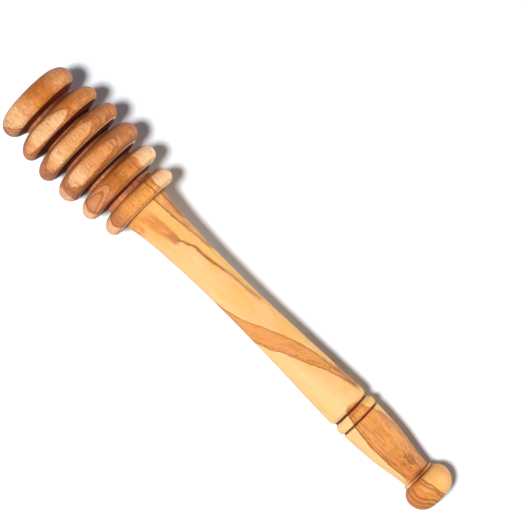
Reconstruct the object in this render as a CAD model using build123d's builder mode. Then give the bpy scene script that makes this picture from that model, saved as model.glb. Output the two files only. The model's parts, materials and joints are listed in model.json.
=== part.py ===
from build123d import *
from math import atan, cos, degrees, radians, sin, tan
import os

# Honey dipper of turned olive wood, in millimetres.
# A round head of six rings is glued to a turned handle by a round tenon.
# Both outlines are drawn along the dipper's own axis: the first number of a point is its
# distance along the axis, the second its distance from the axis.
# The dipper lies as it rests on a table: +X points from the head to the knob, +Z is up,
# and the widest ring and the knob touch the table at z = 0.

# Head: one core with six rounded rings
ring_radius = 14.2
ring_thickness = 6.9
core_radius = 7.75
groove_floor = 1.0
tip_face_radius = 7.2

# Each ring, from the tip to the handle, as shares of the sizes above
ring_radius_shares = [0.866, 0.948, 1.0, 1.0, 0.938, 0.849]
ring_thickness_shares = [1.11, 0.98, 0.97, 1.06, 0.94, 0.81]
groove_floor_shares = [1.05, 0.7, 1.0, 1.0, 1.45]

# The crown lies at a share of a ring's thickness. In front of it the section is a straight
# wall up to a share of the ring's height and a quarter of an ellipse above. Behind it the
# rim turns down to an edge, which lies at a share of the way to the ring's rear foot and at
# a share of its height, and a straight flank runs from there to the core.
crown_shares = [0.48, 0.55, 0.47, 0.455, 0.515, 0.55]
front_wall_shares = [0.06, 0.05, 0.22, 0.28, 0.2, 0.05]
edge_reach_shares = [0.73, 0.65, 0.78, 0.85, 0.76, 0.9]
edge_height_shares = [0.64, 0.75, 0.66, 0.5, 0.47, 0.5]

# Glued joint: the handle's tenon in the head's blind bore
tenon_radius = 4.0
tenon_length = 18.0
tenon_chamfer = 0.6
glue_gap = 0.05
glue_room = 1.2
drill_point_angle = 118
bore_mouth_chamfer = 0.4

# Handle, from its shoulder to the knob's end face
handle_length = 114.4
shoulder_radius = 7.25
waist_radius = 5.2
swell_radius = 6.55

# Where the stick is thinnest and thickest, as shares of the way to the first groove. It
# thins and thickens through points that are a share of the way and of the change in radius.
waist_share = 0.365
swell_share = 0.953
thinning_shares = [(0.09, 0.20), (0.30, 0.59), (0.52, 0.78), (0.76, 0.93)]
thickening_shares = [(0.34, 0.13), (0.63, 0.44), (0.85, 0.76)]

# Two burnt V grooves with a bead between them
first_groove_width = 2.0
first_groove_depth = 0.7
first_lip_radius = 6.35
second_groove_width = 0.85
second_groove_depth = 0.5
second_lip_radius = 6.47
groove_bottom_width = 0.25
bead_length = 3.6
bead_radius = 6.72

# Tail from the second groove to the neck, a small square fillet and the end knob
tail_length = 21.5
tail_shares = [(0.16, 0.04), (0.36, 0.16), (0.58, 0.38), (0.79, 0.75)]
neck_radius = 4.36
neck_length = 0.55
fillet_width = 0.7
fillet_radius = 4.95
crease_radius = 4.7
knob_front_length = 3.75
knob_rear_length = 4.8
knob_radius = 7.16
knob_face_radius = 3.1

# How far a cutting profile reaches past the surface that it cuts
cut_overrun = 1.0

# Rings along the axis: the foot at each end, the crown and the rear edge
rings = []
place = 0
for i, radius_share in enumerate(ring_radius_shares):
    foot_radius = tip_face_radius if i == 0 else core_radius
    radius = ring_radius * radius_share
    thickness = ring_thickness * ring_thickness_shares[i]
    crown = place + thickness * crown_shares[i]
    rear = place + thickness
    rings.append({
        "front": place,
        "foot_radius": foot_radius,
        "wall_radius": foot_radius + (radius - foot_radius) * front_wall_shares[i],
        "crown": crown,
        "radius": radius,
        "edge": crown + (rear - crown) * edge_reach_shares[i],
        "edge_radius": core_radius + (radius - core_radius) * edge_height_shares[i],
        "rear": rear,
    })
    if i < len(groove_floor_shares):
        place = rear + groove_floor * groove_floor_shares[i]
head_length = rings[-1]["rear"]
dipper_length = head_length + handle_length

# Rest on the table: from the knob, the line under the dipper touches the ring that makes it
# steepest, and that slope is the dipper's tilt
knob_place = handle_length - knob_rear_length
knob_crown_place = head_length + knob_place


def slope_to(ring):
    return (ring["radius"] - knob_radius) / (knob_crown_place - ring["crown"])


support_ring = max(rings, key=slope_to)
tilt = atan(slope_to(support_ring))
tip_height = support_ring["crown"] * sin(tilt) + support_ring["radius"] * cos(tilt)

# The axis at the tip stands half the plan length behind the origin
lowest_x = -tip_face_radius * sin(tilt)
highest_x = dipper_length * cos(tilt) + knob_face_radius * sin(tilt)
axis_start = Vector(-(lowest_x + highest_x) / 2, 0, tip_height)
axis_direction = Vector(cos(tilt), 0, -sin(tilt))
dipper_axis = Axis(axis_start, axis_direction)
profile_plane = Plane(origin=axis_start, x_dir=axis_direction, z_dir=(0, -1, 0))
handle_plane = profile_plane.shift_origin(profile_plane.from_local_coords((head_length, 0)))


def along(start, end, shares):
    """Points between two outline points, each a share of the way and of the rise."""
    rise = end[1] - start[1]
    run = end[0] - start[0]
    return [(start[0] + run * way, start[1] + rise * height) for way, height in shares]


# Head
bore_radius = tenon_radius + glue_gap
bore_depth = tenon_length + glue_room
drill_point = bore_radius / tan(radians(drill_point_angle / 2))

with BuildPart() as dipper_head:
    with BuildSketch(profile_plane):
        with BuildLine():
            Line((0, 0), (0, tip_face_radius))
            for i, ring in enumerate(rings):
                Line((ring["front"], ring["foot_radius"]), (ring["front"], ring["wall_radius"]))
                EllipticalCenterArc(
                    (ring["crown"], ring["wall_radius"]),
                    ring["crown"] - ring["front"],
                    ring["radius"] - ring["wall_radius"],
                    start_angle=180,
                    arc_size=-90,
                )
                rim = TangentArc(
                    (ring["crown"], ring["radius"]),
                    (ring["edge"], ring["edge_radius"]),
                    tangent=(1, 0),
                )
                flank = Line(rim @ 1, (ring["rear"], core_radius))
                if ring is not rings[-1]:
                    Line(flank @ 1, (rings[i + 1]["front"], core_radius))
            Line((head_length, core_radius), (head_length, 0))
            Line((head_length, 0), (0, 0))
        make_face()
    revolve(axis=dipper_axis)
    # Blind bore with the drill's cone at its bottom
    with BuildSketch(profile_plane):
        with BuildLine():
            Polyline(
                (head_length, 0),
                (head_length, bore_radius + bore_mouth_chamfer),
                (head_length - bore_mouth_chamfer, bore_radius),
                (head_length - bore_depth, bore_radius),
                (head_length - bore_depth - drill_point, 0),
                close=True,
            )
        make_face()
    revolve(axis=dipper_axis, mode=Mode.SUBTRACT)
dipper_head.part.label = "dipper_head"

# Handle, drawn from its shoulder. The stick takes the length that the bead, the tail and
# the knob leave.
crease_place = knob_place - knob_front_length
fillet_place = crease_place - fillet_width
neck_place = fillet_place - neck_length
second_groove_place = neck_place - tail_length
first_groove_place = second_groove_place - bead_length
shoulder = (0, shoulder_radius)
waist = (first_groove_place * waist_share, waist_radius)
swell = (first_groove_place * swell_share, swell_radius)
first_groove = (first_groove_place, first_lip_radius)
second_groove = (second_groove_place, second_lip_radius)
bead_crown = ((first_groove_place + second_groove_place) / 2, bead_radius)
neck = (neck_place, neck_radius)
crease = (crease_place, crease_radius)
knob_crown = (knob_place, knob_radius)
knob_edge = (handle_length, knob_face_radius)

with BuildPart() as handle:
    with BuildSketch(handle_plane):
        with BuildLine():
            Polyline(
                (-tenon_length, 0),
                (-tenon_length, tenon_radius - tenon_chamfer),
                (-tenon_length + tenon_chamfer, tenon_radius),
                (0, tenon_radius),
                shoulder,
            )
            Spline(
                shoulder,
                *along(shoulder, waist, thinning_shares),
                waist,
                *along(waist, swell, thickening_shares),
                swell,
            )
            TangentArc(swell, first_groove, tangent=(1, 0))
            ThreePointArc(first_groove, bead_crown, second_groove)
            Spline(second_groove, *along(second_groove, neck, tail_shares), neck)
            Polyline(
                neck,
                (fillet_place, neck_radius),
                (fillet_place, fillet_radius),
                (crease_place, fillet_radius),
                crease,
            )
            TangentArc(knob_crown, crease, tangent=(-1, 0))
            TangentArc(knob_crown, knob_edge, tangent=(1, 0))
            Polyline(knob_edge, (handle_length, 0), (-tenon_length, 0))
        make_face()
    revolve(axis=dipper_axis)
    # V grooves with a narrow flat bottom
    for groove, width, depth in (
        (first_groove, first_groove_width, first_groove_depth),
        (second_groove, second_groove_width, second_groove_depth),
    ):
        flare = (width - groove_bottom_width) / 2 / depth
        top_half_width = groove_bottom_width / 2 + flare * (depth + cut_overrun)
        with BuildSketch(handle_plane):
            with BuildLine():
                Polyline(
                    (groove[0] - top_half_width, groove[1] + cut_overrun),
                    (groove[0] - groove_bottom_width / 2, groove[1] - depth),
                    (groove[0] + groove_bottom_width / 2, groove[1] - depth),
                    (groove[0] + top_half_width, groove[1] + cut_overrun),
                    close=True,
                )
            make_face()
        revolve(axis=dipper_axis, mode=Mode.SUBTRACT)
handle.part.label = "handle"

os.makedirs("parts", exist_ok=True)
export_step(dipper_head.part, "parts/dipper_head.step")
export_step(handle.part, "parts/handle.step")

print("overall length", round(dipper_length, 2), "head", round(head_length, 2))
print("tilt in degrees", round(degrees(tilt), 3), "resting on ring", rings.index(support_ring) + 1)
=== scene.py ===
import json
from math import atan2, cos, hypot, pi, radians, sin, sqrt

import bpy
from mathutils import Matrix, Vector, noise


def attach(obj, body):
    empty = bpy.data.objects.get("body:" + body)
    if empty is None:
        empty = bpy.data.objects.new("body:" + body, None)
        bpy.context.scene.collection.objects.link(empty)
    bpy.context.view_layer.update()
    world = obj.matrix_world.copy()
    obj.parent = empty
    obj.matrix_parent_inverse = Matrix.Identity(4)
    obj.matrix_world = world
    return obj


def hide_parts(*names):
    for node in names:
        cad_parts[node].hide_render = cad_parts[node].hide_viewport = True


# Honey dipper of turned olive wood, resting on a pale table.
# Lengths in this script are in millimetres unless a name says otherwise. A point of the
# dipper is given along its own axis from the tip, across it, and up from it.

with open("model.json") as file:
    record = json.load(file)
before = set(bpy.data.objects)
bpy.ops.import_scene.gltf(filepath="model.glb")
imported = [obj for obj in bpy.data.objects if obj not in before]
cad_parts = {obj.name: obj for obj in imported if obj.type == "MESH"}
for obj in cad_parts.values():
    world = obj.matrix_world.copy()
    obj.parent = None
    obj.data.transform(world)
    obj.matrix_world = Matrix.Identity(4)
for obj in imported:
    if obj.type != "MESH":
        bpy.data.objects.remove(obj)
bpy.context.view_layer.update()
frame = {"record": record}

MM = 0.001
mounts = {mount["name"]: mount for mount in frame["record"]["mounts"]}
tip = Vector(mounts["tip_face"]["pos_m"])
end = Vector(mounts["knob_face"]["pos_m"])
along = (end - tip).normalized()
lit_side = Vector((0, -1, 0))
up = along.cross(-lit_side)
dipper_length = (end - tip).length / MM


def place(distance, side, height):
    """A point in the scene, from its place along, beside and above the dipper's axis."""
    return tip + (along * distance + lit_side * side + up * height) * MM


# Camera: the photograph's long lens, square to the dipper's axis. The turn is in degrees.
PICTURE_WIDTH = 522
SENSOR_WIDTH = 36.0
MM_PER_PIXEL = 0.2766
CAMERA_DISTANCE = 733.0
AXIS_TURN = 44.51
camera_foot = (86.0, -12.3)
picture_middle = (77.84, -12.87)


def add_object(name, data):
    made = bpy.data.objects.new(name, data)
    bpy.context.scene.collection.objects.link(made)
    return made


def add_camera():
    data = bpy.data.cameras.new("camera")
    data.sensor_width = SENSOR_WIDTH
    data.lens = SENSOR_WIDTH * CAMERA_DISTANCE / MM_PER_PIXEL / PICTURE_WIDTH
    data.clip_start = 0.01
    data.clip_end = 10
    camera = add_object("camera", data)
    eye = place(*camera_foot, CAMERA_DISTANCE)
    back = (eye - place(*picture_middle, 0)).normalized()
    turn = radians(AXIS_TURN)
    right = along * cos(turn) - lit_side * sin(turn)
    right = (right - back * right.dot(back)).normalized()
    head_up = back.cross(right)
    axes = Matrix((right, head_up, back)).transposed().to_4x4()
    camera.matrix_world = Matrix.Translation(eye) @ axes
    bpy.context.scene.camera = camera


# Light: a soft key almost overhead, a weaker one on each side and a pale surrounding.
# Distances and sizes are in metres and powers in watts.
BLUISH = (0.8, 0.93, 1.0)
SURROUNDING_COLOUR = (0.66, 0.92, 1.25, 1.0)
SURROUNDING_STRENGTH = 0.08


def add_area(name, towards, distance, size, power, colour=(1.0, 1.0, 1.0)):
    data = bpy.data.lights.new(name, "AREA")
    data.shape = "DISK"
    data.size = size
    data.energy = power
    data.color = colour
    light = add_object(name, data)
    direction = Vector(towards).normalized()
    light.location = place(dipper_length / 2, 0, 0) + direction * distance
    light.rotation_euler = direction.to_track_quat("Z", "Y").to_euler()


def add_light():
    add_area("key", towards=(-0.04, -0.23, 1.0), distance=2.8, size=0.48, power=94.0)
    add_area("fill", towards=(-0.15, -0.85, 0.6), distance=2.2, size=1.0, power=13.6)
    add_area("back", towards=(0.45, 1.0, 0.075), distance=1.8, size=0.22, power=30.0, colour=BLUISH)
    world = bpy.data.worlds.new("surrounding")
    world.use_nodes = True
    background = world.node_tree.nodes["Background"]
    background.inputs["Color"].default_value = SURROUNDING_COLOUR
    background.inputs["Strength"].default_value = SURROUNDING_STRENGTH
    bpy.context.scene.world = world
    bpy.context.scene.view_settings.view_transform = "Standard"


# Table: a pale matt board, which reaches this many metres each way from the dipper
TABLE_REACH = 1.5
TABLE_TONE = (0.76, 0.80, 0.84, 1)


def add_floor():
    directions = ((-1, -1), (1, -1), (1, 1), (-1, 1))
    corners = [(TABLE_REACH * x, TABLE_REACH * y, 0) for x, y in directions]
    mesh = bpy.data.meshes.new("table")
    mesh.from_pydata(corners, [], [(0, 1, 2, 3)])
    floor = add_object("table", mesh)
    material = bpy.data.materials.new("table_white")
    material.use_nodes = True
    shader = material.node_tree.nodes["Principled BSDF"]
    shader.inputs["Base Color"].default_value = TABLE_TONE
    shader.inputs["Roughness"].default_value = 0.8
    shader.inputs["Specular IOR Level"].default_value = 0.2
    mesh.materials.append(material)


# Outlines: lists of points, each (distance along the axis, radius)
def line(start, finish, step=0.6):
    """Points at about each step from start to finish."""
    run = finish[0] - start[0]
    rise = finish[1] - start[1]
    count = max(1, round(hypot(run, rise) / step))
    return [(start[0] + run * i / count, start[1] + rise * i / count) for i in range(count + 1)]


def quarter_ellipse(centre, reach, rise, count=14):
    """From the ellipse's front end to its top."""
    turns = [pi / 2 * i / count for i in range(count + 1)]
    return [(centre[0] - reach * cos(turn), centre[1] + rise * sin(turn)) for turn in turns]


def arc_from(start, finish, count=10):
    """An arc that leaves start parallel to the axis and ends at finish, nearer the axis."""
    run = finish[0] - start[0]
    fall = start[1] - finish[1]
    radius = (run * run + fall * fall) / (2 * fall)
    whole = atan2(abs(run), radius - fall)
    direction = 1 if run > 0 else -1
    arc = []
    for i in range(count + 1):
        turn = whole * i / count
        arc.append((start[0] + direction * radius * sin(turn), start[1] - radius + radius * cos(turn)))
    return arc


def smooth_through(points, step=0.8):
    """A natural cubic curve through the points, whose distances rise."""
    count = len(points)
    x = [p[0] for p in points]
    y = [p[1] for p in points]
    bend = [0.0] * count
    upper = [0.0] * count
    for i in range(1, count - 1):
        share = (x[i] - x[i - 1]) / (x[i + 1] - x[i - 1])
        pivot = share * bend[i - 1] + 2
        bend[i] = (share - 1) / pivot
        change = (y[i + 1] - y[i]) / (x[i + 1] - x[i]) - (y[i] - y[i - 1]) / (x[i] - x[i - 1])
        upper[i] = (6 * change / (x[i + 1] - x[i - 1]) - share * upper[i - 1]) / pivot
    for i in range(count - 2, 0, -1):
        bend[i] = bend[i] * bend[i + 1] + upper[i]
    curve = []
    for i in range(count - 1):
        width = x[i + 1] - x[i]
        steps = max(1, round(width / step))
        for k in range(steps):
            b = k / steps
            a = 1 - b
            sag = ((a**3 - a) * bend[i] + (b**3 - b) * bend[i + 1]) * width * width / 6
            curve.append((x[i] + width * b, a * y[i] + b * y[i + 1] + sag))
    curve.append((x[-1], y[-1]))
    return curve


def chain(*stretches):
    """Joins stretches of an outline. A number between two of them rounds their corner."""
    same_place = 1e-6
    outline = []
    corners = []
    for stretch in stretches:
        if isinstance(stretch, (int, float)):
            corners.append((len(outline) - 1, stretch))
            continue
        start = stretch[0]
        if outline and hypot(outline[-1][0] - start[0], outline[-1][1] - start[1]) < same_place:
            stretch = stretch[1:]
        outline.extend(stretch)
    return soften(outline, corners)


def soften(outline, corners):
    """Rounds the outline's corners, each given by its place in the list and its reach."""
    steps = 6
    for index, reach in sorted(corners, reverse=True):
        corner = outline[index]
        before, kept_before = walk(outline, index, -1, reach)
        after, kept_after = walk(outline, index, 1, reach)
        bend = []
        for i in range(steps + 1):
            b = i / steps
            a = 1 - b
            bend.append(tuple(a * a * before[k] + 2 * a * b * corner[k] + b * b * after[k] for k in (0, 1)))
        outline = outline[: kept_before + 1] + bend + outline[kept_after:]
    return outline


def walk(outline, index, direction, reach):
    """The point that lies reach away from a corner, and the next kept point past it."""
    left = reach
    here = outline[index]
    while True:
        index += direction
        there = outline[index]
        length = hypot(there[0] - here[0], there[1] - here[1])
        if length > left:
            share = left / length
            point = (here[0] + (there[0] - here[0]) * share, here[1] + (there[1] - here[1]) * share)
            return point, index
        left -= length
        here = there


# Sizes of the head, as the dipper is made
ring_radius = 14.2
ring_thickness = 6.9
core_radius = 7.75
groove_floor = 1.0
tip_face_radius = 7.2
ring_radius_shares = [0.866, 0.948, 1.0, 1.0, 0.938, 0.849]
ring_thickness_shares = [1.11, 0.98, 0.97, 1.06, 0.94, 0.81]
groove_floor_shares = [1.05, 0.7, 1.0, 1.0, 1.45]
crown_shares = [0.48, 0.55, 0.47, 0.455, 0.515, 0.55]
front_wall_shares = [0.06, 0.05, 0.22, 0.28, 0.2, 0.05]
edge_reach_shares = [0.73, 0.65, 0.78, 0.85, 0.76, 0.9]
edge_height_shares = [0.64, 0.75, 0.66, 0.5, 0.47, 0.5]
edge_rounding = 0.35
foot_rounding = 0.3

# Sizes of the glued joint
tenon_radius = 4.0
tenon_length = 18.0
tenon_chamfer = 0.6
glue_gap = 0.05
glue_room = 1.2
drill_point_length = 2.43
bore_mouth_chamfer = 0.4

# Sizes of the handle
handle_length = 114.4
shoulder_radius = 7.25
waist_radius = 5.2
swell_radius = 6.55
waist_share = 0.365
swell_share = 0.953
thinning_shares = [(0.09, 0.2), (0.30, 0.59), (0.52, 0.78), (0.76, 0.93)]
thickening_shares = [(0.34, 0.13), (0.63, 0.44), (0.85, 0.76)]
first_groove_width = 2.0
first_groove_depth = 0.7
first_lip_radius = 6.35
second_groove_width = 0.85
second_groove_depth = 0.5
second_lip_radius = 6.47
groove_bottom_width = 0.25
bead_length = 3.6
bead_radius = 6.72
tail_length = 21.5
tail_shares = [(0.16, 0.04), (0.36, 0.16), (0.58, 0.38), (0.79, 0.75)]
neck_radius = 4.36
neck_length = 0.55
fillet_width = 0.7
fillet_radius = 4.95
crease_radius = 4.7
knob_front_length = 3.75
knob_rear_length = 4.8
knob_radius = 7.16
knob_face_radius = 3.1
neck_rounding = 0.12
fillet_rounding = 0.15
crease_rounding = 0.1
knob_face_rounding = 0.4
groove_softness = 0.06


def find_rings():
    """Each ring's places along the axis and its radii, from the tip to the handle."""
    found = []
    distance = 0.0
    for i, radius_share in enumerate(ring_radius_shares):
        foot = tip_face_radius if i == 0 else core_radius
        radius = ring_radius * radius_share
        thickness = ring_thickness * ring_thickness_shares[i]
        crown = distance + thickness * crown_shares[i]
        rear = distance + thickness
        found.append({
            "front": (distance, foot),
            "wall": (distance, foot + (radius - foot) * front_wall_shares[i]),
            "crown": (crown, radius),
            "edge": (
                crown + (rear - crown) * edge_reach_shares[i],
                core_radius + (radius - core_radius) * edge_height_shares[i],
            ),
            "rear": (rear, core_radius),
        })
        if i < len(groove_floor_shares):
            distance = rear + groove_floor * groove_floor_shares[i]
    return found


rings = find_rings()
head_length = rings[-1]["rear"][0]


def head_outline():
    bore_radius = tenon_radius + glue_gap
    bore_bottom = head_length - tenon_length - glue_room
    bore_mouth = (head_length, bore_radius + bore_mouth_chamfer)
    bore_edge = (head_length - bore_mouth_chamfer, bore_radius)
    parts = [line((0, 0), (0, tip_face_radius))]
    for ring in rings:
        wall = ring["wall"]
        crown = ring["crown"]
        parts += [
            line(ring["front"], wall, 0.2),
            quarter_ellipse((crown[0], wall[1]), crown[0] - wall[0], crown[1] - wall[1]),
            arc_from(crown, ring["edge"]),
            edge_rounding,
            line(ring["edge"], ring["rear"], 0.5),
        ]
        if ring is not rings[-1]:
            following = rings[rings.index(ring) + 1]
            parts += [foot_rounding, line(ring["rear"], following["front"], 0.2), foot_rounding]
    parts += [
        line((head_length, core_radius), bore_mouth),
        line(bore_mouth, bore_edge),
        line(bore_edge, (bore_bottom, bore_radius), 1.5),
        line((bore_bottom, bore_radius), (bore_bottom - drill_point_length, 0)),
    ]
    return chain(*parts)


def share_points(start, finish, shares):
    """Points from start to finish, the inner ones at shares of the way and of the rise."""
    run = finish[0] - start[0]
    rise = finish[1] - start[1]
    inner = [(start[0] + run * way, start[1] + rise * height) for way, height in shares]
    return [start, *inner, finish]


# Places along the handle, worked out from its end
handle_end = head_length + handle_length
knob_place = handle_end - knob_rear_length
crease_place = knob_place - knob_front_length
fillet_place = crease_place - fillet_width
neck_place = fillet_place - neck_length
second_groove_place = neck_place - tail_length
first_groove_place = second_groove_place - bead_length
stick_length = first_groove_place - head_length
waist_place = head_length + stick_length * waist_share
swell_place = head_length + stick_length * swell_share


def cut_groove(outline, place_along, lip_radius, width, depth):
    """Presses a V groove with a soft bottom and soft lips into an outline."""
    slope = (width - groove_bottom_width) / 2 / depth
    cut = []
    for distance, radius in outline:
        from_middle = abs(distance - place_along)
        floor = lip_radius - depth + max(0, from_middle - groove_bottom_width / 2) / slope
        gap = radius - floor
        lowered = radius - (gap + sqrt(gap * gap + groove_softness * groove_softness)) / 2
        near = from_middle < width and radius > lip_radius - 1
        cut.append((distance, lowered if near else radius))
    return cut


def refine(outline, low, high, step):
    """Adds points to an outline between two distances along the axis."""
    fine = [outline[0]]
    for point in outline[1:]:
        before = fine[-1]
        if low < point[0] < high and point[0] - before[0] > step:
            fine.extend(line(before, point, step)[1:])
        else:
            fine.append(point)
    return fine


def handle_outline():
    shoulder = (head_length, shoulder_radius)
    waist = (waist_place, waist_radius)
    swell = (swell_place, swell_radius)
    first = (first_groove_place, first_lip_radius)
    second = (second_groove_place, second_lip_radius)
    bead = ((first_groove_place + second_groove_place) / 2, bead_radius)
    neck = (neck_place, neck_radius)
    crease = (crease_place, crease_radius)
    crown = (knob_place, knob_radius)
    fillet_front = (fillet_place, fillet_radius)
    fillet_rear = (crease_place, fillet_radius)
    fillet_foot = (fillet_place, neck_radius)
    face = (handle_end, knob_face_radius)
    tenon_start = head_length - tenon_length
    tenon_front = (tenon_start, tenon_radius - tenon_chamfer)
    tenon_edge = (tenon_start + tenon_chamfer, tenon_radius)
    tenon_foot = (head_length, tenon_radius)
    stick = share_points(shoulder, waist, thinning_shares)
    stick += share_points(waist, swell, thickening_shares)[1:]
    tail = share_points(second, neck, tail_shares)
    outline = chain(
        line((tenon_start, 0), tenon_front),
        line(tenon_front, tenon_edge),
        line(tenon_edge, tenon_foot, 1.5),
        line(tenon_foot, shoulder),
        smooth_through(stick),
        arc_from(swell, first, 8),
        smooth_through([first, bead, second], 0.3),
        smooth_through(tail),
        line(neck, fillet_foot, 0.2),
        neck_rounding,
        line(fillet_foot, fillet_front, 0.2),
        fillet_rounding,
        line(fillet_front, fillet_rear, 0.2),
        fillet_rounding,
        line(fillet_rear, crease, 0.08),
        crease_rounding,
        arc_from(crown, crease, 14)[::-1],
        arc_from(crown, face, 14),
        knob_face_rounding,
        line(face, (handle_end, 0)),
    )
    near = 1.5
    outline = refine(outline, first_groove_place - near, second_groove_place + near, 0.08)
    outline = cut_groove(outline, *first, first_groove_width, first_groove_depth)
    return cut_groove(outline, *second, second_groove_width, second_groove_depth)


def turned_points(outline, segments, wander):
    """A row of vertices round the axis for each inner point of an outline, then the two poles.

    A hand at the lathe leaves the piece out of round by about wander.
    """
    wave_length = 9
    waves_round = 1.3
    vertices = []
    for distance, radius in outline[1:-1]:
        for i in range(segments):
            turn = 2 * pi * i / segments
            spot = Vector((distance / wave_length, sin(turn) * waves_round, cos(turn) * waves_round))
            swing = wander * noise.noise(spot) * min(1, radius / core_radius)
            vertices.append(place(distance, (radius + swing) * sin(turn), (radius + swing) * cos(turn)))
    vertices.append(place(*outline[0], 0))
    vertices.append(place(*outline[-1], 0))
    return vertices


def lathe(name, outline, segments, strips, wander):
    """Turns an outline, which starts and ends on the axis, and unrolls it in strips."""
    vertices = turned_points(outline, segments, wander)
    front_pole = len(vertices) - 2
    rear_pole = len(vertices) - 1
    lengths = [0.0]
    for before, point in zip(outline, outline[1:]):
        lengths.append(lengths[-1] + hypot(point[0] - before[0], point[1] - before[1]))
    margin = 0.004

    def corner(row, column, strip):
        share = lengths[row] / lengths[-1] * strips - strip
        across = strip / strips + margin + (1 / strips - 2 * margin) * column / segments
        return across, margin + (1 - 2 * margin) * share

    faces = []
    spots = []
    last = len(outline) - 1
    for row in range(last):
        middle = (lengths[row] + lengths[row + 1]) / 2 / lengths[-1]
        strip = min(int(middle * strips), strips - 1)
        base = (row - 1) * segments
        for i in range(segments):
            after = (i + 1) % segments
            if row == 0:
                faces.append((front_pole, after, i))
                places = ((0, i + 0.5), (1, i + 1), (1, i))
            elif row == last - 1:
                faces.append((base + i, base + after, rear_pole))
                places = ((row, i), (row, i + 1), (last, i + 0.5))
            else:
                faces.append((base + i, base + after, base + segments + after, base + segments + i))
                places = ((row, i), (row, i + 1), (row + 1, i + 1), (row + 1, i))
            spots += [corner(*spot, strip) for spot in places]
    mesh = bpy.data.meshes.new(name)
    mesh.from_pydata(vertices, [], faces)
    unwrap = mesh.uv_layers.new(name="OFBake")
    unwrap.data.foreach_set("uv", [value for spot in spots for value in spot])
    mesh.polygons.foreach_set("use_smooth", [True] * len(mesh.polygons))
    mesh.update()
    return add_object(name, mesh)


# Wood: a material is a sum of fields over the solid, so its figure runs through the piece
class Field:
    """A value that varies over a surface: the output of a shader node."""

    def __init__(self, wood, socket):
        self.wood = wood
        self.socket = socket

    def __add__(self, other):
        return self.wood.math("ADD", self, other)

    def __sub__(self, other):
        return self.wood.math("SUBTRACT", self, other)

    def __rsub__(self, other):
        return self.wood.math("SUBTRACT", other, self)

    def __mul__(self, other):
        return self.wood.math("MULTIPLY", self, other)

    def __truediv__(self, other):
        return self.wood.math("DIVIDE", self, other)

    def __pow__(self, power):
        return self.wood.math("POWER", self, power)

    def __abs__(self):
        return self.wood.math("ABSOLUTE", self)

    __radd__ = __add__
    __rmul__ = __mul__

    def step(self, low, high):
        """Rises smoothly from 0 where the value is low to 1 where it is high."""
        first, last = sorted((low, high))
        at_first = 1 if low > high else 0
        made = self.wood.node(
            "MapRange", Value=self, From_Min=first, From_Max=last, To_Min=at_first, To_Max=1 - at_first
        )
        made.interpolation_type = "SMOOTHSTEP"
        return Field(self.wood, made.outputs[0])

    def near(self, width):
        """1 where the value is zero, falling to 0 at a width either side."""
        return abs(self).step(width, 0.0)

    def curve(self, points, straight=False):
        """Follows points of (value, result), smooth or straight, level past both ends."""
        low, high = points[0][0], points[-1][0]
        least = min(p[1] for p in points) - 1
        most = max(p[1] for p in points) + 1
        made = self.wood.node("FloatCurve", Value=(self - low) / (high - low))
        shape = made.mapping.curves[0]
        for i, point in enumerate(points):
            spot = ((point[0] - low) / (high - low), (point[1] - least) / (most - least))
            if i in (0, len(points) - 1):
                shape.points[0 if i == 0 else -1].location = spot
            else:
                shape.points.new(*spot)
        for point in shape.points:
            point.handle_type = "VECTOR" if straight else "AUTO"
        made.mapping.extend = "HORIZONTAL"
        made.mapping.update()
        return Field(self.wood, made.outputs[0]) * (most - least) + least


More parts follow.
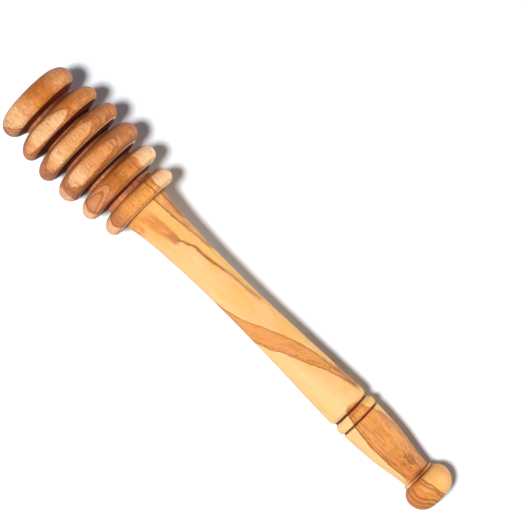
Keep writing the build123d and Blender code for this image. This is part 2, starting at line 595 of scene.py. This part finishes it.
class Wood:
    """A material whose nodes are written as sums in the dipper's own coordinates."""

    def __init__(self, name):
        self.material = bpy.data.materials.new(name)
        self.material.use_nodes = True
        self.tree = self.material.node_tree
        self.shader = self.tree.nodes["Principled BSDF"]
        self.colour = None
        self.point = self.dipper_point()
        split = self.node("SeparateXYZ", Vector=self.point)
        self.along, self.side, self.height = (Field(self, split.outputs[i]) for i in range(3))

    def node(self, kind, **inputs):
        """Adds a shader node of a kind and feeds its inputs."""
        made = self.tree.nodes.new("ShaderNode" + kind)
        for key, value in inputs.items():
            self.feed(made.inputs[key.replace("_", " ")], value)
        return made

    def feed(self, socket, value):
        if isinstance(value, Field):
            self.tree.links.new(value.socket, socket)
        elif isinstance(value, bpy.types.NodeSocket):
            self.tree.links.new(value, socket)
        else:
            socket.default_value = value

    def math(self, operation, *values):
        made = self.node("Math")
        made.operation = operation
        for socket, value in zip(made.inputs, values):
            self.feed(socket, value)
        return Field(self, made.outputs[0])

    def dipper_point(self):
        """Millimetres along, beside and above the axis, from the piece's own coordinates."""
        turned = Matrix((along, -lit_side, up))
        mapping = self.node(
            "Mapping",
            Vector=self.node("TexCoord").outputs["Object"],
            Location=turned @ tip / -MM,
            Rotation=turned.to_euler(),
            Scale=(1 / MM, 1 / MM, 1 / MM),
        )
        mirrored = self.node("VectorMath")
        mirrored.operation = "MULTIPLY"
        self.feed(mirrored.inputs[0], mapping.outputs[0])
        mirrored.inputs[1].default_value = (1, -1, 1)
        return mirrored.outputs[0]

    def noise(self, stretch, seed, detail=2.0, layer=None, roughness=0.5):
        """Noise within about one either side of zero; stretch is its waves per millimetre."""
        vector = self.point
        if layer is not None:
            joined = self.node("CombineXYZ", X=self.along, Y=layer, Z=self.height)
            vector = joined.outputs[0]
        shift = (seed * 7.3, seed * 3.1, seed * 5.7)
        mapping = self.node("Mapping", Vector=vector, Scale=stretch, Location=shift)
        made = self.node("TexNoise", Vector=mapping.outputs[0], Scale=1, Detail=detail, Roughness=roughness)
        return (Field(self, made.outputs["Fac"]) - 0.5) * 4

    def bands(self, value, tones):
        """Layers of tone, each full at its own value and giving way evenly to the next."""
        made = self.node("ValToRGB")
        low, high = tones[0][0] - 1.0, tones[-1][0] + 1.0
        self.feed(made.inputs[0], (value - low) / (high - low))
        stops = made.color_ramp.elements
        for i, (start, tone) in enumerate(tones):
            spot = (start - low) / (high - low)
            stop = stops[i] if i < 2 else stops.new(spot)
            stop.position = spot
            stop.color = (*tone, 1.0)
        return made.outputs[0]

    def mix(self, share, low, high):
        """A colour between two, low where share is 0 and high where it is 1."""
        made = self.node("Mix")
        made.data_type = "RGBA"
        self.feed(made.inputs[0], share)
        for socket, colour in ((made.inputs[6], low), (made.inputs[7], high)):
            if isinstance(colour, tuple):
                colour = (*colour, 1.0)
            self.feed(socket, colour)
        return made.outputs[2]

    def shade(self, colour, factor):
        """A colour times a field."""
        made = self.node("VectorMath")
        made.operation = "SCALE"
        self.feed(made.inputs[0], colour)
        self.feed(made.inputs["Scale"], factor)
        return made.outputs[0]

    def paint(self, share, tone):
        """Lays a tone over the colour so far, from none of it at share 0 to all at 1."""
        self.colour = self.mix(share, self.colour, tone)

    def finish(self, contrast, shine):
        """Adds the fine fibres and pores, and sets the satin surface."""
        fibre = self.noise((0.12, 2.6, 2.6), 11, 3.0, roughness=0.6)
        pores = self.noise((0.55, 3.4, 3.4), 12, 1.0).step(0.6, 1.1)
        colour = self.shade(self.colour, fibre * contrast + 1.0 - pores * contrast * 2.0)
        relief = fibre * 0.25 - pores * 0.8
        bump = self.node("Bump", Height=relief, Strength=0.5, Distance=FIBRE_RELIEF * MM)
        surface = {
            "Base Color": colour,
            "Roughness": fibre * 0.03 + pores * 0.15 + OILED_ROUGHNESS,
            "IOR": OILED_IOR,
            "Specular IOR Level": shine,
            "Normal": bump.outputs[0],
        }
        for name, value in surface.items():
            self.feed(self.shader.inputs[name], value)


# Tones of the wood
CREAM = (0.73, 0.455, 0.185)
YELLOW = (0.74, 0.41, 0.12)
HONEY = (0.72, 0.35, 0.095)
ORANGE = (0.66, 0.255, 0.055)
SIENNA = (0.50, 0.165, 0.03)
BROWN = (0.30, 0.085, 0.014)
VEIN = (0.24, 0.085, 0.008)
# Black brown of the burnt handle grooves, also used as painted shade in creases and on the head's flanks
CHAR_AND_SHADE = (0.10, 0.007, 0.002)
PINK = (0.72, 0.42, 0.22)
AMBER = (0.53, 0.17, 0.037)
RUST = (0.46, 0.13, 0.02)
UMBER = (0.42, 0.145, 0.055)
PEACH = (0.66, 0.285, 0.105)
PALE = (0.72, 0.375, 0.18)
BLOND = (0.76, 0.44, 0.205)
ROSE = (0.52, 0.19, 0.085)
# Painted shade tones for the head's groove floors and flanks
DEEP_SHADE = (0.13, 0.03, 0.01)
BROWN_SHADE = (0.25, 0.078, 0.026)
DUSKY = (0.28, 0.085, 0.035)
CARAMEL = (0.58, 0.22, 0.065)
# Painted highlight for the rims' edges
RIM_HIGHLIGHT = (0.88, 0.62, 0.42)

# The surface of both pieces, satin with oil and a little relief of the fibres
OILED_ROUGHNESS = 0.55
OILED_IOR = 1.45
FIBRE_RELIEF = 0.03

# Growth layers of the handle: how far they lean to the side for each millimetre of height,
# and how far they run along the wood for each millimetre below the axis
LAYER_TILT = 0.3
LAYER_SLANT = 1.6

# The layers that each of the head's rings cuts, from its shaded side to its lit side: the
# distance beside the axis where a tone is full
RING_LAYERS = [
    [(-11.4, UMBER), (-9.4, CARAMEL), (-7.5, CARAMEL), (-4.8, RUST), (-2.2, RUST), (0.4, SIENNA),
     (2.8, PEACH), (4.4, PEACH), (6.4, BLOND), (8.4, PALE)],
    [(-10, CARAMEL), (-7.2, CARAMEL), (-5.8, RUST), (-4.8, RUST), (-3.8, PEACH), (-0.5, PALE), (4, PALE),
     (6, BLOND), (7, BLOND), (8.8, PEACH)],
    [(-10, UMBER), (-7, ROSE), (-5.6, PEACH), (3.5, PEACH), (6.4, BLOND), (7.2, BLOND), (9, PEACH),
     (10.5, ROSE)],
    [(-10, ROSE), (-6.8, ROSE), (-5.6, CARAMEL), (-1, CARAMEL), (3, PEACH), (5.5, PALE), (9.4, PALE),
     (10.2, ROSE), (12, ROSE), (12.4, PALE)],
    [(-11.2, BLOND), (-9.6, PALE), (-8.1, PALE), (-7.5, AMBER), (-3.5, AMBER), (-0.5, RUST), (2, RUST),
     (4, ROSE)],
    [(-11, BLOND), (-9.4, PALE), (-7.2, PALE), (-6.4, ORANGE), (3.6, ORANGE), (6.6, UMBER)],
]

# Where the pale patches of rings one to four end, towards the tip and towards the handle, as
# points of (distance beside the axis, share of the way from the crown to the ring's foot)
PATCH_FRONTS = [
    [(-20, 2), (20, 2)],
    [(-5.8, -0.3), (-4.8, 0.05), (-3.4, 0.3), (-1.1, 0.56), (2.4, 0.76), (5.8, 0.86), (9.3, 0.68),
     (11.4, 0.44), (12.4, -0.2)],
    [(-7, -0.2), (-6.2, 0.2), (-5.2, 0.45), (-3, 0.58), (-1.1, 0.65), (2.4, 0.77), (5.8, 0.74), (9.2, 0.42),
     (11.3, 0.07), (12, -0.3)],
    [(-8, -0.1), (-6.7, 0.36), (-4.5, 0.5), (-1.1, 0.57), (2.3, 0.66), (5.8, 0.72), (8.5, 0.57),
     (9.9, 0.24), (10.6, -0.3)],
]
PATCH_REARS = [
    [(-20, 2), (4, 2), (6, 1.2), (8, 0.75), (9.6, 0.4), (10.6, 0), (11.4, -0.4)],
    [(-5.8, -0.3), (-4.8, 0.05), (-2.8, 0.38), (-1.1, 0.52), (2.3, 0.6), (5.8, 0.58), (9.3, 0.46),
     (11.4, 0.26), (12.4, -0.2)],
    [(-7, -0.2), (-6.2, 0.15), (-4.5, 0.48), (-1.1, 0.62), (2.3, 0.7), (5.7, 0.76), (9.2, 0.7),
     (11.3, 0.5), (12, 0.3)],
    [(-8, -0.1), (-6.7, 0.35), (-4.5, 0.48), (-1.1, 0.58), (2.3, 0.64), (5.7, 0.66), (8.4, 0.53),
     (9.8, 0.23), (10.6, -0.3)],
]

# Each ring's rear rim: how strong its painted highlight line is and half how wide, and how strong
# the painted shade line in front of it is
RIM_HIGHLIGHTS = [0, 0.3, 0.9, 1, 1, 0.9]
RIM_LINE_WIDTHS = [0.3, 0.3, 0.36, 0.46, 0.7, 0.5]
RIM_SHADES = [0.2, 0.3, 0.6, 0.8, 0.3, 0.4]


# The two recipes: places are in millimetres along the axis and beside it, and the share of
# a tone runs from 0 to 1
class HandleWood(Wood):
    """Pale yellow wood with brown layers, which lie in sheets at a tilt."""

    def __init__(self, outline):
        super().__init__("olive_wood_handle")
        self.outline = outline
        below = self.math("SMOOTH_MIN", self.height, 0, 2)
        self.reach = self.along + below * LAYER_SLANT
        ragged = self.noise((0.12, 0.35, 0.35), 1) * 0.12 + self.noise((0.7, 1.6, 1.6), 2) * 0.12
        self.beside = self.side + ragged
        self.mottle = self.noise((0.25, 1.3, 1.3), 6, 3)
        self.fine = self.noise((0.8, 2, 2), 16) * 0.5
        self.above = self.height.step(-1, 1)
        self.clouds = self.noise((0.035, 0.16, 0.16), 3)
        self.faint = self.along.curve([
            (45.5, 1.2), (46.6, 0.2), (47.4, -0.3), (49.5, -0.5), (52.5, -0.6), (56.1, -0.9), (59.1, -0.8),
        ])
        self.lay_ground()
        self.lay_strip()
        self.lay_lit_part()
        self.lay_knot()
        self.lay_vein()
        self.lay_band()
        self.lay_heart()
        self.lay_knob()
        self.burn_grooves_and_shade_neck()
        self.finish(contrast=0.09, shine=0.25)

    def radius_at(self, distance):
        """The handle's widest radius at a distance along the axis."""
        best = 0
        for before, point in zip(self.outline, self.outline[1:]):
            low, high = sorted((before[0], point[0]))
            if low <= distance <= high and high > low:
                share = (distance - before[0]) / (point[0] - before[0])
                best = max(best, before[1] + (point[1] - before[1]) * share)
        return best

    def sheet(self, points):
        """How far a spot lies from a growth layer, towards the lit side.

        The layer stands at a tilt and meets the upper face of the wood at the points, each
        (distance along, side). Under the axis it slants along the wood.
        """
        shifted = []
        for distance, beside in points:
            radius = self.radius_at(distance)
            height = sqrt(max(0, radius * radius - beside * beside))
            shifted.append((distance, beside - LAYER_TILT * height))
        return self.beside - self.height * LAYER_TILT - self.reach.curve(shifted)

    def lay_ground(self):
        """Pale wood, more orange near the head, and paler towards the lit side as painted light."""
        paleness = self.along.curve([
            (45, -0.3), (50, -0.1), (55, 0.05), (66, 0.3), (95, 0.4), (115, 0.6), (125, 0.65), (160, 0.5),
        ])
        # The side term is painted light: the wood grows paler towards the lit side
        pale = (self.side * 0.1 + self.clouds * 0.45 + paleness).step(0, 1)
        self.colour = self.mix(pale, HONEY, CREAM)
        layers = self.noise((0.02, 1.1, 0.5), 4, layer=self.beside)
        self.paint(layers.step(0.1, 1) * 0.3, YELLOW)
        patches = self.noise((0.11, 0.2, 0.2), 9)
        self.paint(patches.step(0, 0.6) * 0.4, PINK)

    def lay_strip(self):
        """Red-brown strip along the shaded edge beside the head, between dark lines."""
        strip = self.sheet([
            (46, -3.5), (50.6, -3.8), (53.3, -3.8), (57.9, -4.3), (61.5, -4.6), (65.6, -4.9), (70, -6.5),
            (80, -12),
        ])
        second = self.sheet([(46, -6.2), (49.1, -6), (54, -5.6), (60, -6.8), (70, -10)])
        beside_head = self.along.step(76, 70)
        red_brown = self.mix(self.mottle.step(-0.6, 0.6), AMBER, ORANGE)
        self.paint(strip.step(0.1, -0.25) * beside_head * 0.85, red_brown)
        self.paint(strip.near(0.34) * beside_head, BROWN)
        self.paint(second.near(0.3) * beside_head * 0.9, BROWN)

    def lay_lit_part(self):
        """Orange lower part beside the head, under a faint line."""
        by_head = self.along.step(52, 47)
        self.paint(by_head * self.beside.step(1, 5) * 0.55, ORANGE)
        blotches = self.noise((0.3, 0.5, 0.5), 10, 3).step(-0.5, 0.2)
        blotches = blotches * self.beside.step(3.6, 4.8) * self.along.step(52, 49.5)
        self.paint(blotches * 0.9, ORANGE)
        self.paint(blotches * (self.fine + self.mottle * 0.5).step(-0.1, 0.4) * 0.7, SIENNA)
        faint_line = (self.beside - self.faint).near(0.3) * self.above
        self.paint(faint_line * self.along.step(59, 57) * 0.4, SIENNA)

    def lay_knot(self):
        """Brown streaks that draw together to a small knot."""
        bottom = self.along.curve([
            (46, 4.2), (47.9, 3.5), (50.6, 2.9), (53.4, 2.4), (56.1, 1.8), (59.1, 1.2),
        ])
        share = (self.beside - self.faint) / (bottom - self.faint)
        joined = self.node("CombineXYZ", X=self.along * 0.22, Y=share * 3, Z=4)
        converging = self.node("TexNoise", Vector=joined.outputs[0], Scale=1, Detail=3)
        streak = (Field(self, converging.outputs["Fac"]) - 0.5) * 2
        cone = share.step(-0.1, 0.12) * share.step(1.3, 0.7) * self.above
        cone *= (self.along + self.fine).step(59.8, 58.4)
        cone *= self.along.curve([(45, 0.4), (49, 0.75), (53, 1), (57, 1), (60, 1)])
        self.paint(cone * streak.step(-0.8, -0.1) * 0.95, ORANGE)
        self.paint(cone * streak.step(-0.35, 0.15) * 0.85, SIENNA)
        knot = (abs(self.along - 57.8) / 2.6) ** 2 + (abs(self.beside - 0.2) / 1.3) ** 2
        self.paint(knot.step(1.4, 0.1) * cone * (streak * 0.4 + 0.45), BROWN)

    def lay_vein(self):
        """The dark vein behind the knot, which thins out and fades."""
        vein = self.sheet([
            (57, 0.3), (58.8, -0.2), (59.7, -0.8), (61.2, -1.3), (63.4, -2.1), (65.6, -2.1), (70.3, -2.6),
            (72.5, -3), (76.2, -3.6), (81.7, -3.9), (84.6, -4.3), (89, -4.9), (96, -7),
        ])
        started = self.along.step(57.5, 58.8) * self.along.step(87.5, 84)
        self.paint(vein.step(0.1, -2) * started * 0.3, HONEY)
        self.paint(vein.near(0.8) * started * 0.4, SIENNA)
        thin = self.along.step(71, 75)
        vein_tone = self.mix(thin * 0.45, VEIN, SIENNA)
        self.paint((abs(vein) + thin * 0.1).step(0.46, 0) * started, vein_tone)

    def lay_band(self):
        """Wide brown band across the stick, with dark lines along its edges."""
        upper = self.sheet([
            (70, 7.5), (76, 5.3), (78.5, 4.9), (82.3, 4.3), (87.1, 2.9), (89, 2.1), (92.6, 0.4),
            (96.4, -1.1), (100, -2.5), (105, -3.9), (111.5, -4.9), (116.6, -5.6), (121, -6.6),
        ])
        lower = self.sheet([
            (88, 8.5), (92.6, 5.5), (94.4, 4.8), (95.6, 4.3), (98.2, 3.4), (100.3, 1.9), (103.7, 0.6),
            (108, -1.3), (110.1, -2.2), (113.2, -3.5), (116.5, -4.6), (121, -5.9), (124, -8),
        ])
        on_stick = self.along.step(124, 121)
        inside = upper.step(-0.1, 0.15) * lower.step(0.1, -0.15)
        streaks = self.noise((0.1, 1.6, 0.5), 5, 3, layer=lower)
        band = self.mix(streaks.step(-0.9, 0.5), SIENNA, ORANGE)
        self.paint(inside * 0.9, band)
        self.paint(upper.near(0.32) * on_stick * 0.75, BROWN)
        self.paint(lower.near(0.36) * on_stick * 0.85, BROWN)
        self.paint((lower + 0.8 + self.mottle * 0.4).near(0.3) * inside * 0.7, BROWN)

    def lay_heart(self):
        """Brown heart wood, from a point before the grooves to the neck."""
        top = self.sheet([
            (123.3, -0.3), (124.1, -1.9), (125.6, -3.4), (128.1, -4.1), (129.9, -4.9), (132.5, -5.4),
            (137.2, -5.5), (142.8, -5.1), (147, -4.6), (150.7, -4.3),
        ])
        bottom = self.sheet([
            (123.3, -0.3), (124.4, 0.7), (125.8, 1.2), (128.1, 1.8), (129, 2.2), (131.5, 2.7), (133.7, 2.9),
            (135.9, 3.2), (140.1, 3.2), (144.6, 3.1), (148.8, 2.6), (150.7, 2),
        ])
        before_knob = self.along.step(crease_place + 0.05, crease_place - 0.1)
        heart = top.step(-0.1, 0.2) * bottom.step(0.1, -0.2)
        heart = heart * self.along.step(122.8, 124.6) * before_knob
        grain = self.noise((0.16, 1.5, 1.5), 7, 3, roughness=0.6)
        self.paint(heart * 0.95, self.mix(grain.step(-0.7, 0.4), SIENNA, ORANGE))
        aged = self.along.step(136, 146) * self.side.step(4.5, 1) * heart
        self.paint(aged * 0.3, RUST)
        threads = self.noise((0.3, 3.4, 3.4), 17, 3, roughness=0.6).step(0.05, 0.7)
        self.paint(threads * (heart * 0.25 + aged * 0.5), BROWN)
        from_middle = (abs(self.along - 146.6) / 3) ** 2
        from_middle += (abs(self.beside + 1.9 + self.mottle) / 2.1) ** 2
        patch = (from_middle + self.fine * 1.8 + grain * 1.4).step(1.4, 0.3)
        self.paint(patch * heart * self.above * 0.85, BROWN)
        rays = self.noise((2.2, 0.7, 0.7), 15, 1).step(0, 0.8) * self.mottle.step(-0.6, 0.5)
        self.paint(rays * heart * 0.4, BROWN)
        edges = top.near(0.3) * 0.7 + bottom.near(0.55)
        self.paint(edges * self.along.step(123.6, 124.6) * before_knob * 0.95, BROWN)
        self.paint((bottom + 0.9 + self.mottle * 0.3).near(0.32) * heart * 0.7, BROWN)

    def lay_knob(self):
        """A pale cap on the shaded side and brown wood with dark layers on the lit side, with painted shade
        on the cap's upper edge and at the knob's front.
        """
        cap_line = [(151.3, -0.1), (153.6, -0.5), (156.2, -1.1), (159.2, -1.5), (160.2, -1.7)]
        knob = self.along.step(crease_place - 0.1, crease_place + 0.05)
        self.paint(knob, self.mix((self.clouds + self.mottle * 0.5).step(0.3, 1.2), HONEY, YELLOW))
        # Painted shade along the cap's upper edge
        self.paint(knob * self.beside.step(-3.8, -6.6) * 0.5, AMBER)
        lower_knob = self.mix(self.mottle.step(-0.8, 0.7), SIENNA, ORANGE)
        lower_knob = self.mix(self.beside.step(1.5, 5.5) * 0.85, lower_knob, RUST)
        # Painted shade towards the knob's front flank, which faces the neck
        lower_knob = self.mix(self.along.step(153.2, 151.6) * 0.6, lower_knob, BROWN)
        self.paint(self.sheet(cap_line).step(-0.1, 0.15) * knob * 0.9, lower_knob)
        dots = self.noise((0.9, 0.9, 0.9), 14).step(-1.3, -0.5)
        for width, strength, layer in (
            (0.4, 0.9, cap_line),
            (0.4, 0.9, [(151.5, 1), (152.3, 0.8), (154.5, 0.4), (156.6, -0.5), (158.6, -0.7),
                        (160.2, -1.2)]),
            (0.3, 0.5, [(151.5, 2), (153.9, 2.2), (156.3, 1.3), (158.6, 0.4), (160.2, -0.3)]),
            (0.5, 1, [(151.5, 3.3), (152.9, 3.7), (154.6, 3.9), (157.2, 2.6), (159, 1.3), (160.2, 0.4)]),
            (0.5, 1, [(151.5, 4.5), (153, 5.1), (154.8, 5.3), (157.3, 4.2), (158.6, 3), (160.2, 1.6)]),
            (0.5, 1, [(151.5, 5.6), (153.2, 6.3), (156.7, 6.1), (158, 4.8), (160.2, 3.2)]),
        ):
            self.paint(self.sheet(layer).near(width) * knob * dots * strength, BROWN)

    def burn_grooves_and_shade_neck(self):
        """Burnt lines in the two grooves, and painted shade in the neck and in the creases on each side of
        the fillet.
        """
        shaky = self.along + self.noise((0.3, 0.9, 0.9), 8) * 0.08
        for groove, reach, full in ((first_groove_place, 0.58, 0.18), (second_groove_place, 0.4, 0.1)):
            self.paint(abs(shaky - groove).step(reach, full), CHAR_AND_SHADE)
        # Painted shade in the neck, lighter on the lit side
        neck = self.along.step(147.8, 150) * self.along.step(152.8, 151.6)
        self.paint(neck * self.beside.step(4.2, 2.6) * 0.8, SIENNA)
        collar = (self.along + self.fine * 0.4).step(149.3, 150.3) * self.along.step(152, 151.4)
        self.paint(collar * (self.beside + 1).near(3.6) * 0.9, BROWN)
        self.paint(collar * (self.beside + 0.8).near(2.8) * 0.3, CHAR_AND_SHADE)
        # Painted shade in the creases on each side of the fillet, weaker towards the lit side
        crease_shade = self.beside.step(4.4, 1) * 0.6 + 0.15
        self.paint((self.along - fillet_place + 0.2).near(0.3) * crease_shade, CHAR_AND_SHADE)
        self.paint((self.along - crease_place).near(0.3) * crease_shade * 1.2, CHAR_AND_SHADE)


class HeadWood(Wood):
    """Orange brown wood, whose layers each ring cuts in its own way."""

    def __init__(self):
        super().__init__("olive_wood_head")
        self.mottle = self.noise((0.3, 0.45, 0.45), 23, 3, roughness=0.6)
        self.fine = self.noise((0.5, 1.5, 1.5), 24)
        # From -1 at each ring's front through 0 at its crown to 1 at its rear
        self.within = self.along.curve([
            point
            for ring in rings
            for point in ((ring["front"][0], -1), (ring["crown"][0], 0), (ring["rear"][0], 1))
        ], straight=True)
        self.tip_four = (self.side + self.fine * 0.15).step(11.8, 12.4) * self.on_rings(4, 4)
        self.lay_rings()
        self.lay_patches()
        self.lay_ring_five()
        self.lay_last_rings()
        self.lay_growth_lines()
        self.lay_blotches()
        self.shade_floors()
        self.shade_flanks()
        self.finish(contrast=0.22, shine=0.15)

    def on_rings(self, first, last):
        """1 on the rings from first to last, counted from the tip."""
        front = rings[first - 1]["front"][0]
        rear = rings[last - 1]["rear"][0]
        from_front = self.along.step(front - 0.5, front - 0.3)
        return from_front * self.along.step(rear + 0.3, rear + 0.1)

    def lay_rings(self):
        """Each ring's own layers."""
        ragged = self.noise((0.2, 0.4, 0.4), 21) * 0.9 + self.fine * 0.35
        below = self.math("MINIMUM", self.height, 0)
        side = self.side + ragged + below * 0.5
        self.colour = self.bands(side, RING_LAYERS[0])
        for i, layers in enumerate(RING_LAYERS[1:], 2):
            self.paint(self.on_rings(i, 6), self.bands(side, layers))

    def lay_patches(self):
        """Brown wood on rings one to four, outside a long pale patch on each crown."""
        shadow_side = self.mix(self.mottle.step(-0.6, 0.8), RUST, AMBER)
        border = self.mix(self.side.step(-3, 6), shadow_side, UMBER)
        border = self.mix(self.within.step(0.4, 0.7) * self.on_rings(4, 4) * 0.9, border, BROWN)
        for number, (front_edge, rear_edge) in enumerate(zip(PATCH_FRONTS, PATCH_REARS), 1):
            past_front = 0 - self.within - self.side.curve(front_edge)
            past_rear = self.within - self.side.curve(rear_edge)
            outside = self.math("MAXIMUM", past_rear, past_front) + self.mottle * 0.09 + self.fine * 0.05
            here = self.on_rings(number, number)
            self.paint(outside.step(-0.16, 0.08) * here * 0.85, border)
            line_here = (outside - 0.03).near(0.15) * here * self.mottle.step(1, -0.2)
            self.paint(line_here * 0.9, BROWN)
        # Painted shade on the front edges of rings three and four, on their shaded side, and ring four's
        # pale lit tip
        front_edge_shade = self.within.step(0, -0.5) * self.side.step(-3, -6.5) * self.on_rings(3, 4)
        self.paint(front_edge_shade * 0.6, DUSKY)
        self.paint(self.tip_four * 0.85, PALE)

    def lay_ring_five(self):
        """Streaks on ring five, and arched layers on its lit side."""
        on_five = self.on_rings(5, 5)
        sag = abs(self.within + 0.15) ** 2 * 9
        arch = self.side - sag + self.mottle * 0.4
        core = self.side - sag * 1.6 + self.mottle * 0.4
        streaks = self.noise((2, 0.28, 0.28), 30, 3).step(-0.3, 0.4)
        self.paint(streaks * (self.side + 0.5).near(6.5) * on_five * 0.75, BROWN)
        on_drop = on_five * self.side.step(11.3, 10.6)
        self.paint(arch.step(2, 2.8) * on_drop * 0.5, PEACH)
        self.paint(core.step(5, 5.6) * on_drop * 0.75, ROSE)
        for layer, place_beside, width, share in (
            (arch, 2.3, 0.8, 0.95), (arch, 3.6, 0.6, 0.4), (core, 5, 1.3, 0.9), (core, 7, 0.5, 0.4)
        ):
            self.paint((layer - place_beside).near(width) * on_drop * share, BROWN)

    def lay_last_rings(self):
        """Rings five and six: pale lit tips, and dark lines between the layers."""
        on_five = self.on_rings(5, 5)
        on_six = self.on_rings(6, 6)
        swept = self.side + abs(self.within) ** 2 * 2.2 + self.fine * 0.12
        self.paint(swept.step(11.2, 11.7) * on_five + swept.step(9.3, 9.8) * on_six, PALE)
        self.paint((swept - 11).near(0.7) * on_five * 0.75, BROWN)
        self.paint((swept - 9.2).near(0.4) * on_six * 0.8, BROWN)
        last = self.on_rings(5, 6)
        wavy = self.side + self.noise((0.45, 0.6, 0.6), 29) * 0.35 + self.fine * 0.12
        self.paint((wavy + 6.7).near(0.42) * last * 0.85, BROWN)
        self.paint((wavy + 5.2).near(0.5) * on_six * 0.9, BROWN)
        front_line = (self.within + 0.82 - self.side.step(-3, -9) * 0.1).near(0.24)
        self.paint(front_line * last * self.side.step(3, -1) * 0.85, BROWN)

    def lay_growth_lines(self):
        """Fine lines that show as arcs on the rings and as stripes on the end faces."""
        growth = self.noise((0.05, 1.6, 0.2), 31, 4, layer=self.side + self.mottle * 0.3, roughness=0.65)
        self.paint(growth.step(0.1, 0.8) * (0.36 - self.on_rings(5, 6) * 0.14), BROWN)
        # Painted light and shade along the head: darker at each ring's front foot, paler towards its rear
        # rim
        self.colour = self.shade(self.colour, self.along.curve(painted_light_along_rings()))

    def lay_blotches(self):
        """Blotches, and short dark ticks of cut pores along the grain."""
        burl = self.noise((0.35, 0.8, 0.8), 28, 4, roughness=0.65).step(-0.25, 0.5)
        upper_burl = self.side.step(-4.5, -7.5) * (self.on_rings(3, 4) * 0.55 + 0.2)
        burl = burl * (upper_burl + self.side.step(8.5, 11) * 0.7 + 0.1) * (1 - self.tip_four)
        self.paint(burl * self.on_rings(1, 4), DUSKY)
        self.paint(self.mottle.step(0.2, 0.9) * 0.25, HONEY)
        self.paint(self.mottle.step(-0.1, -0.9) * self.side.step(4, -3) * 0.45, RUST)
        ticks = self.noise((0.45, 2.4, 2.4), 26).step(0, 0.6)
        ticks *= self.noise((0.15, 0.25, 0.25), 27).step(-0.4, 0.2)
        calm = self.side.step(-6, -7.2) * self.on_rings(5, 6) * 0.5 + self.on_rings(6, 6) * 0.25
        self.paint(ticks * (0.55 - self.side.step(1, 5) * 0.1) * (1 - calm), BROWN)

    def shade_floors(self):
        """Painted shade in the groove floors and at the foot of each ring's front wall, lighter on the lit
        side and towards the handle.
        """
        floor = self.mix(self.side.step(-4, 5), DEEP_SHADE, BROWN_SHADE)
        floor = self.mix(self.along.step(12, 14.5) * 0.5, floor, BROWN_SHADE)
        floor = self.mix(self.side.step(1.5, 6) * 0.5, floor, UMBER)
        floor = self.mix(self.along.step(29.5, 31) * self.side.step(-2, 3) * 0.9, floor, UMBER)
        floor = self.mix(self.along.step(37, 39) * 0.5, floor, UMBER)
        self.paint(self.along.curve(floor_shade()), self.shade(floor, self.fine * 0.4 + 1))

    def shade_flanks(self):
        """Painted shade on the rear flanks and just in front of each rim's edge, and a painted highlight
        line on the edge.
        """
        radius = self.math("SQRT", self.side * self.side + self.height * self.height)
        flank_shade = self.mix(self.side.step(-2, 8) * 0.4, CHAR_AND_SHADE, DEEP_SHADE)
        spread = 1 + self.side.step(-4, -8) * 0.8
        for ring, highlight_strength, width, dark in zip(rings, RIM_HIGHLIGHTS, RIM_LINE_WIDTHS, RIM_SHADES):
            past_edge = self.along - ring["edge"][0] + self.fine * 0.05
            below_edge = ring["edge"][1] - radius
            rear = ring["rear"][0]
            on_flank = past_edge.step(-0.1, 0.1) * self.along.step(rear + 0.1, rear)
            flank_darkness = 0.4 if ring is rings[-1] else 0.95
            self.paint(on_flank * below_edge.step(-0.1, 0.4) * flank_darkness, flank_shade)
            from_edge = self.math("SQRT", past_edge * past_edge + below_edge * below_edge)
            # Painted shade line in front of the rim's edge, then the painted highlight on the edge
            self.paint((from_edge - width * 2).near(width) * past_edge.step(0, -0.1) * dark, BROWN)
            self.paint((from_edge / spread).near(width) * highlight_strength, RIM_HIGHLIGHT)


def painted_light_along_rings():
    """Painted light and shade at each distance along the head, as a factor: darker at each ring's front
    foot, paler towards its rear rim.
    """
    points = []
    for ring in rings:
        crown = ring["crown"][0]
        edge = ring["edge"][0]
        front = ring["front"][0]
        points += [(front, 0.62), (front + (crown - front) * 0.35, 0.92), (crown, 1.0)]
        points += [(crown + (edge - crown) * 0.75, 1.15), (ring["rear"][0], 1.15)]
    return points


def floor_shade():
    """How much painted shade lies at each distance along the head, from 0 to 1: full in the groove floors,
    fading up the foot of each ring's front wall.
    """
    points = []
    for ring in rings:
        front = ring["front"][0]
        first = 0.1 if ring is rings[0] else 0.95
        way = ring["crown"][0] - front
        points += [(front, first), (front + way * 0.12, first * 0.6), (front + way * 0.4, 0.0)]
        points.append((ring["rear"][0] - 0.1, 0.0))
        points.append((ring["rear"][0] + 0.05, 0.95))
    return points


def add_piece(node, outline, wood, segments, strips, wander):
    piece = lathe(node + "_turned", outline, segments, strips, wander)
    piece.data.materials.append(wood.material)
    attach(piece, "root")
    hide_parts(node)


add_camera()
add_light()
add_floor()
stick = handle_outline()
add_piece("dipper_head", head_outline(), HeadWood(), segments=192, strips=1, wander=0.12)
add_piece("handle", stick, HandleWood(stick), segments=144, strips=2, wander=0.08)
